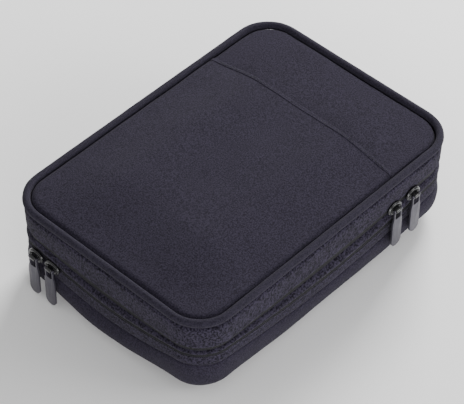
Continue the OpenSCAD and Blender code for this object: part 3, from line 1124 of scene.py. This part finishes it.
class BuildMiddle(bpy.types.Operator):
    """The cloth band between the zips, and the padded panel between the compartments"""

    bl_idname = "pouch.build_middle"
    bl_label = "Middle"

    def execute(self, context):
        low = LOWER_Z + 2.6
        section = [
            (2.5, low), (1.7, low + 0.25), (1.3, low + 1.0), (1.1, low + 2.2), (1.15, low + 3.4),
        ]
        section += [(1.5, low + 4.6), (2.1, low + 5.6), (2.9, low + 6.4), (3.7, low + 6.9)]
        section += [
            (WALL_BACK - 0.1, low + 6.9), (WALL_BACK - 0.1, low + 3.5), (WALL_BACK - 0.1, low),
        ]
        ob = band("middle_band_cloth", section, ZIPPED)
        reshape(ob, settle)
        subdivide(ob)
        crumple(ob, 18, 0.6)
        smooth(ob, 70)
        # The wall cloth's strong speckle is partly painted shade and light from grazing light.
        wear(ob, side_cloth, "middle", ["middle_wall"])
        self.build_floor(context)
        return {"FINISHED"}

    def build_floor(self, context):
        low_corner, high_corner = box("divider_panel")
        low = low_corner.z
        high = high_corner.z
        edge = HALF_L - high_corner.x
        section = [
            (CORNER, low), (16, low), (edge + 2, low), (edge + 0.5, low + 0.4),
            (edge, (low + high) / 2),
        ]
        section += [
            (edge + 0.5, high - 0.4), (edge + 2, high), (edge + 7, high), (edge + 8, high - 0.6),
        ]
        section += [(edge + 9, high), (16, high), (CORNER, high)]
        ob = add_middles(band("middle_floor_pad", section, closed=False), low, high)
        subdivide(ob)
        crumple(ob, 30, 0.5)
        smooth(ob, 70)
        wear(ob, lining_cloth, "middle", ["divider_panel"])


def band_layout(node):
    """Centres of an elastic band's loops and of its stitched feet, its lowest z and its rise."""
    low, high = box(node)
    feet = 5
    foot = 8.0
    pitch = (high.x - low.x - foot) / (feet - 1)
    centres = [low.x + foot / 2 + pitch * i for i in range(feet)]
    return centres, foot, low, high


def band_height(x, centres, foot, low, high):
    """Height of an elastic band's underside: round arches between its feet."""
    rise = high.z - low.z - 1
    half = (centres[1] - centres[0] - foot) / 2
    radius = (half ** 2 + rise ** 2) / (2 * rise)
    middles = [(a + b) / 2 for a, b in zip(centres, centres[1:])]
    offset = min(abs(x - middle) for middle in middles)
    if offset >= half:
        return low.z + 0.5
    return low.z + 0.5 + math.sqrt(radius ** 2 - offset ** 2) - (radius - rise)


class BuildCableLoops(bpy.types.Operator):
    """Two elastic bands, stitched down into loops for cables"""

    bl_idname = "pouch.build_cable_loops"
    bl_label = "Cable loops"

    def execute(self, context):
        for node in ("cable_loops_front", "cable_loops_rear"):
            centres, foot, low, high = band_layout(node)
            centre = ((low.x + high.x) / 2, (low.y + high.y) / 2, 0)
            ob = grid(node + "_elastic", centre, (high.x - low.x, high.y - low.y), 150, 10)
            reshape(ob, lambda x, y, z: (x, y, band_height(x, centres, foot, low, high)))
            thicken(ob, 0.95)
            round_edges(ob, 0.3, 2, 50)
            smooth(ob, 50)
            wear(ob, elastic_cloth, "middle", [node])
            rows = []
            for middle in centres:
                for shift in (-2.2, 2.2):
                    top = low.z + 1.15
                    ends = [(middle + shift, low.y + 1, top), (middle + shift, high.y - 1, top)]
                    rows.append(stitches("row", path_through("foot_line", ends)))
            rows = join(node + "_stitches", rows)
            wear(rows, thread_finish, "middle")
        return {"FINISHED"}


# ---- Base ----


class BuildBase(bpy.types.Operator):
    """Padded base: rounded sides, a bottom seam ridge and a flat bottom"""

    bl_idname = "pouch.build_base"
    bl_label = "Base"

    def execute(self, context):
        pad = context.scene.pouch_cloth.pad
        swell = context.scene.pouch_cloth.bulge
        top = SHELL_TOP + 0.6
        heel = 13.0
        heel_in = WALL_IN - 0.6 * swell + heel
        inner = [(CORNER, pad), (20, pad)] + arc((heel_in, heel), heel - pad, 270, 180, 8)
        rim = [
            (WALL_IN - 0.6 * swell + pad, top - 0.6), (WALL_IN + 1.9, top),
            (WALL_IN + 0.9, top - 0.1),
        ]
        rim += [(WALL_IN + 0.2, top - 0.7), (WALL_IN - 0.3 * swell, top - 2)]
        face = [(WALL_IN - 0.9 * swell, top - 4.5), (WALL_IN - 1.1 * swell, top - 7)]
        outer = arc((heel_in, heel), heel, 180, 270, 10) + [(20, 0), (CORNER, 0)]
        ob = add_middles(band("base_shell_pad", inner + rim + face + outer, closed=False), pad, 0)
        reshape(ob, settle)
        subdivide(ob)

        def rest(x, y, z):
            return x, y, max(0, z)

        crumple(ob, 30, 0.9)
        reshape(ob, rest)
        reshape(ob, lift_corners)
        smooth(ob, 70)
        wear(ob, shell_cloth, "base", ["base_shell", "base_panel", "base_pad"])
        return {"FINISHED"}


class BuildLinings(bpy.types.Operator):
    """Linings of the base and the lid, with bound edges"""

    bl_idname = "pouch.build_linings"
    bl_label = "Linings"

    def lining(self, name, section, middle_z, body, nodes, rule):
        ob = add_middles(band(name, section, closed=False), middle_z)
        if rule:
            reshape(ob, rule)
        subdivide(ob)
        crumple(ob, 22, 0.5)
        thicken(ob, 0.35)
        smooth(ob, 60)
        depth = abs(section[0][1] - middle_z)
        flat = (2 * (HALF_W + depth) * MM, 2 * (HALF_L + depth) * MM)
        wear(ob, lining_cloth, body, nodes)

    def binding(self, name, inset, z, body):
        ob = band(name, arc((inset, z), 0.85, 0, 330, 11))
        crumple(ob, 8, 0.2)
        smooth(ob, 80)
        wear(ob, elastic_cloth, body)

    def execute(self, context):
        low, high = box("base_lining")
        edge = HALF_L - high.x + 0.35
        heel = 8.8
        section = [(edge, high.z), (edge, 22), (edge, 16)]
        floor_z = low.z + 0.4
        section += arc((edge + heel, floor_z + heel), heel, 180, 270, 7)
        section += [(20, floor_z), (CORNER, floor_z)]
        self.lining("base_lining_cloth", section, floor_z, "base", ["base_lining"], lift_corners)
        self.binding("base_lining_binding", edge + 0.15, high.z, "base")
        low, high = box("lid_lining")
        top = high.z - 0.5
        section = [
            (edge, low.z), (edge, (low.z + top) / 2), (edge + 0.3, top - 2.4),
            (edge + 1.2, top - 0.8),
        ]
        section += [(edge + 3, top - 0.1), (12, top), (20, top), (CORNER, top)]
        self.lining("lid_lining_cloth", section, top, "lid", ["lid_lining"], None)
        self.binding("lid_lining_binding", edge + 0.15, low.z, "lid")
        return {"FINISHED"}


class BuildMeshPocket(bpy.types.Operator):
    """Mesh pocket under the lid, with an elastic binding along its mouth"""

    bl_idname = "pouch.build_mesh_pocket"
    bl_label = "Mesh pocket"

    def execute(self, context):
        low, high = box("mesh_pocket")
        bind_low, bind_high = box("mesh_binding")

        def hang(x, y, z):
            side = ease((high.x - abs(x)) / 12)
            front = ease((y - low.y) / 12)
            return x, y, high.z - 0.7 - (high.z - low.z - 1.2) * side * front + z

        def strip(name, y_low, y_high, steps_y):
            size = (high.x - low.x, y_high - y_low)
            ob = grid(name, (0, (y_low + y_high) / 2, 0), size, 110, steps_y)
            reshape(ob, hang)
            return ob

        net = strip("mesh_pocket_net", low.y, bind_low.y + 1, 48)
        crumple(net, 20, 0.4)
        smooth(net, 60)
        binding = strip("mesh_pocket_binding", bind_low.y, bind_high.y, 4)
        thicken(binding, 1.5)
        round_edges(binding, 0.5, 3, 50)
        smooth(binding, 50)
        wear(net, net_cloth, "lid", ["mesh_pocket"])
        wear(binding, elastic_cloth, "lid", ["mesh_binding"])
        top = high.z - 0.5
        corners = [
            (high.x - 1, bind_low.y, top), (high.x - 1, low.y + 1, top),
            (low.x + 1, low.y + 1, top),
        ]
        corners.append((low.x + 1, bind_low.y, top))
        curve = path_through("mesh_line", corners)
        wear(stitches("mesh_pocket_stitches", curve), thread_finish, "lid")
        return {"FINISHED"}


class BuildDividers(bpy.types.Operator):
    """Padded dividers of the lower compartment, on hook-tape feet"""

    bl_idname = "pouch.build_dividers"
    bl_label = "Dividers"

    def execute(self, context):
        thick = 4.0
        foot_t = 1.2
        heel = 12.5
        for node in ("long_divider", "cross_divider_left", "cross_divider_right"):
            low, high = box(node)
            size = high - low
            centre = (high + low) / 2
            along_x = size.x > size.y
            length = size.x if along_x else size.y
            clear_selection()
            bpy.ops.mesh.primitive_cube_add(size=MM, scale=(length, thick, size.z))
            board = apply_place()

            def at_heel(edge):
                ends = [board.data.vertices[i].co for i in edge.vertices]
                return all(end.z < 0 for end in ends) and ends[0].x == ends[1].x

            choose_edges(board, at_heel)
            bpy.ops.mesh.bevel(offset=(heel - 1) * MM, segments=8)
            bpy.ops.mesh.select_mode(type="VERT")
            leave()
            round_edges(board, 1.3, 4, 50)
            parts = [board]
            for end in (-1, 1):
                clear_selection()
                bpy.ops.mesh.primitive_cube_add(
                    size=MM,
                    location=(
                        end * (length - foot_t) / 2 * MM, 0, (heel - size.z / 2) * 0.5 * MM + 2 * MM
                    ),
                    scale=(foot_t, 20, size.z - heel),
                )
                foot = apply_place()
                round_edges(foot, 0.4, 3)
                parts.append(foot)
            ob = join(node + "_pad", parts)
            if not along_x:
                reshape(ob, lambda x, y, z: (-y, x, z))
            reshape(ob, lambda x, y, z: (x + centre.x, y + centre.y, z + centre.z))
            seal(ob)
            crumple(ob, 15, 0.3)
            smooth(ob, 50)
            wear(ob, brushed_cloth, "base", [node])
        return {"FINISHED"}


# ---- Sliders and pulls ----
# Both are drawn for the front side and then turned: X runs along the zip, Y is the inset, Z is up.


def to_side(ob, node, side):
    """Moves a part drawn for the front side, round its zip's line, to where its node is."""
    low, high = box(node)
    middle = (low + high) / 2
    if side == "front":
        reshape(ob, lambda x, y, z: (x + middle.x, y - HALF_W, z))
    else:
        reshape(ob, lambda x, y, z: (y - HALF_L, middle.y - x, z))


def block(size, place, bevel=0.0):
    """A rounded block, in millimetres."""
    clear_selection()
    bpy.ops.mesh.primitive_cube_add(size=MM, location=Vector(place) * MM, scale=size)
    ob = apply_place()
    if bevel:
        round_edges(ob, bevel, 3)
    return ob


def rod(radius, length, place, axis, bevel=0.0, scale=(1, 1, 1)):
    """A rounded rod along X or Y, in millimetres."""
    turn = (0, math.pi / 2, 0) if axis == "X" else (math.pi / 2, 0, 0)
    clear_selection()
    bpy.ops.mesh.primitive_cylinder_add(
        vertices=32, radius=radius * MM, depth=length * MM, rotation=turn, location=(0, 0, 0)
    )
    ob = apply_place()
    reshape(ob, lambda *at: [c * size + shift for c, size, shift in zip(at, scale, place)])
    if bevel:
        round_edges(ob, bevel, 3, 50)
    return ob


SLIDERS = [
    ("upper_slider_front", "upper_pull_front", "front", UPPER_Z),
    ("upper_slider_rear", "upper_pull_rear", "front", UPPER_Z),
    ("lower_slider_front", "lower_pull_front", "left", LOWER_Z),
    ("lower_slider_rear", "lower_pull_rear", "left", LOWER_Z),
]
PIN_IN = (JOINTS["upper_front_pull"]["pos_m"][1] / MM) + HALF_W


class BuildSliders(bpy.types.Operator):
    """Oval zip sliders with a raised rim and a lug for the pull's pin"""

    bl_idname = "pouch.build_sliders"
    bl_label = "Sliders"

    def execute(self, context):
        low, high = box("upper_slider_front")
        length = high.x - low.x
        width = high.z - low.z
        plate_in = WALL_IN - 0.45
        back_in = high.y + HALF_W - 0.6
        for node, _, side, zip_z in SLIDERS:
            oval = (length / width, 1, 1.06)
            plate = rod(width / 2, 1.7, (0, plate_in - 0.95, 0), "Y", 0.55, oval)
            clear_selection()
            bpy.ops.mesh.primitive_torus_add(
                major_segments=40, minor_segments=8, major_radius=(width / 2 - 0.95) * MM,
                minor_radius=0.55 * MM, rotation=(math.pi / 2, 0, 0),
            )
            rim = apply_place()
            stretch = (length - 1.9) / (width - 1.9)
            reshape(rim, lambda x, y, z: (x * stretch, y + plate_in - 1.85, z * 1.06))
            lug = rod(1.65, 4.5, (0, PIN_IN, 0), "X", 0.35)
            neck = block((4.3, plate_in - PIN_IN, 2.6), (0, (plate_in + PIN_IN) / 2, 0), 0.3)
            bridge = block((8.4, 1.0, 2.0), (0, plate_in - 2.1, 0), 0.45)
            post = block((2.6, 5, 0.5), (0, plate_in + 2.4, 0), 0.1)
            back = block((8, 1.2, width - 0.4), (0, back_in, 0), 0.4)
            parts = [plate, rim, lug, neck, bridge, post, back]
            ob = join(node + "_body", parts)
            reshape(ob, lambda x, y, z: (x, y, z + zip_z))
            to_side(ob, node, side)
            seal(ob, 0.0005)
            smooth(ob, 45)
            wear(ob, slider_enamel, node, [node])
        return {"FINISHED"}


class BuildPulls(bpy.types.Operator):
    """Long flat pulls with a window under the pin, a tapered neck and a round tip"""

    bl_idname = "pouch.build_pulls"
    bl_label = "Pulls"

    def paddle(self, half_top, half_tip, tip_z, thick):
        outline = [
            (-half_top + 0.6, 1.15), (half_top - 0.6, 1.15), (half_top - 0.1, 0.6),
            (half_top, -0.6),
        ]
        outline += [(half_top - 0.2, -6.5), (half_tip - 0.2, -9.5), (half_tip, -12)]
        for angle in range(0, 181, 12):
            turn = math.radians(angle)
            x = half_tip * math.cos(turn)
            outline.append((x, tip_z + half_tip - half_tip * math.sin(turn)))
        outline += [(-half_tip, -12), (-half_tip + 0.2, -9.5), (-half_top + 0.2, -6.5)]
        outline += [(-half_top, -0.6), (-half_top + 0.1, 0.6)]
        clear_selection()
        bpy.ops.mesh.primitive_circle_add(vertices=len(outline), radius=MM, fill_type="NGON")
        ob = bpy.context.object
        for vertex, (x, z) in zip(ob.data.vertices, outline):
            vertex.co = Vector((x, -thick / 2, z)) * MM
        edit(ob)
        bpy.ops.mesh.extrude_region_move(TRANSFORM_OT_translate={"value": (0, thick * MM, 0)})
        leave()
        seal(ob)
        return ob

    def execute(self, context):
        low, high = box("upper_pull_front")
        half_tip = (high.x - low.x) / 2
        for _, pull, side, zip_z in SLIDERS:
            ob = self.paddle(3.75, half_tip, low.z - UPPER_Z, 1.35)
            cutter = block((5.2, 5, 8.6), (0, 0, -3.0))
            round_edges(cutter, 0.9, 4)
            modify(ob, "BOOLEAN", object=cutter, operation="DIFFERENCE", solver="EXACT")
            bpy.data.objects.remove(cutter)
            round_edges(ob, 0.32, 3, 35)
            pin = rod(0.72, 7.2, (0, 0, 0), "X", 0.2)
            ears = [rod(1.25, 1.1, (x, 0, 0), "X", 0.3) for x in (-3.2, 3.2)]
            ob = join(pull + "_paddle", [ob, pin, *ears])
            reshape(ob, lambda x, y, z: (x, y + PIN_IN, z + zip_z))
            to_side(ob, pull, side)
            smooth(ob, 40)
            wear(ob, pull_lacquer, pull, [pull])
        return {"FINISHED"}


# ---- Stage ----


WORLD_STRENGTH = 0.62
# Name, place in metres, size in metres and power of each light
LIGHTS = (
    ("key_light", (1.2, 0.45, 0.75), 0.6, 37),
    ("fill_light", (-1.0, -1.6, 0.45), 1.2, 30),
    ("rim_light", (0.9, -1.5, 0.8), 0.8, 12),
)
# Camera: azimuth, elevation and roll in degrees, distance in metres, target, sensor and lens
CAMERA_ANGLES = (-47.02, 46.31, 0.44)
CAMERA_DISTANCE = 1.430
CAMERA_TARGET = (-5.1, -1.3, 39.0)
SENSOR_WIDTH = 36
LENS = 168.02


class BuildStage(bpy.types.Operator):
    """Pale floor, soft lights and the camera"""

    bl_idname = "pouch.build_stage"
    bl_label = "Stage"

    def execute(self, context):
        scene = context.scene
        clear_selection()
        bpy.ops.mesh.primitive_plane_add(size=12, location=(0, 0, -0.0005))
        floor = context.object
        floor.name = "studio_floor"
        paint = Finish("floor_paint", roughness=0.9)
        paint.tint(paint.noise(400, 2), paint_of("floor"), 1, 0.985)
        floor.data.materials.append(paint.material)
        world = bpy.data.worlds.new("studio_air")
        scene.world = world
        world.use_nodes = True
        air = world.node_tree.nodes["Background"]
        air.inputs["Color"].default_value = (1, 1, 1, 1)
        air.inputs["Strength"].default_value = WORLD_STRENGTH
        for name, place, size, power in LIGHTS:
            bpy.ops.object.light_add(type="AREA", location=place)
            light = context.object
            light.name = name
            light.data.size = size
            light.data.energy = power
            light.rotation_mode = "QUATERNION"
            light.rotation_quaternion = Vector(place).to_track_quat("Z", "Y")
        self.add_camera(context)
        return {"FINISHED"}

    def add_camera(self, context):
        azimuth, elevation, roll = (math.radians(angle) for angle in CAMERA_ANGLES)
        target = Vector(CAMERA_TARGET) * MM
        level = math.cos(elevation)
        back = Vector(
            (math.sin(azimuth) * level, -math.cos(azimuth) * level, math.sin(elevation))
        )
        right = Vector((math.cos(azimuth), math.sin(azimuth), 0))
        up = back.cross(right)
        turned_right = right * math.cos(roll) + up * math.sin(roll)
        turned_up = up * math.cos(roll) - right * math.sin(roll)
        bpy.ops.object.camera_add(location=target + back * CAMERA_DISTANCE)
        camera = context.object
        camera.name = "studio_camera"
        camera.data.sensor_width = SENSOR_WIDTH
        camera.data.lens = LENS
        camera.rotation_mode = "QUATERNION"
        turn = Matrix((turned_right, turned_up, back)).transposed()
        camera.rotation_quaternion = turn.to_quaternion()
        context.scene.camera = camera


# ---- Panel and registration ----

STEPS = (
    BuildStage, BuildTopPanel, BuildSlipPocket, BuildPiping, BuildLidWall, BuildSpine, BuildZips,
    BuildMiddle, BuildCableLoops, BuildBase, BuildLinings, BuildMeshPocket, BuildDividers,
    BuildSliders, BuildPulls,
)


class PouchPanel(bpy.types.Panel):
    """Lists the pouch's pieces in the sidebar"""

    bl_idname = "VIEW3D_PT_pouch"
    bl_label = "Cable pouch"
    bl_space_type = "VIEW_3D"
    bl_region_type = "UI"
    bl_category = "Pouch"

    def draw(self, context):
        for step in STEPS:
            self.layout.operator(step.bl_idname)
        for name in GROUPS:
            group = getattr(context.scene, name)
            column = self.layout.column()
            for setting in group.__annotations__:
                column.prop(group, setting)


GROUPS = {"pouch_cloth": PouchCloth, "pouch_trim": PouchTrim, "pouch_colours": PouchColours}


def register():
    for group in GROUPS.values():
        bpy.utils.register_class(group)
    for step in STEPS:
        bpy.utils.register_class(step)
    bpy.utils.register_class(PouchPanel)
    for name, group in GROUPS.items():
        setattr(bpy.types.Scene, name, PointerProperty(type=group))


def unregister():
    for name in GROUPS:
        delattr(bpy.types.Scene, name)
    bpy.utils.unregister_class(PouchPanel)
    for step in reversed(STEPS):
        bpy.utils.unregister_class(step)
    for group in GROUPS.values():
        bpy.utils.unregister_class(group)


def main():
    register()
    for step in STEPS:
        family, name = step.bl_idname.split(".")
        getattr(getattr(bpy.ops, family), name)()


if __name__ == "__main__":
    main()
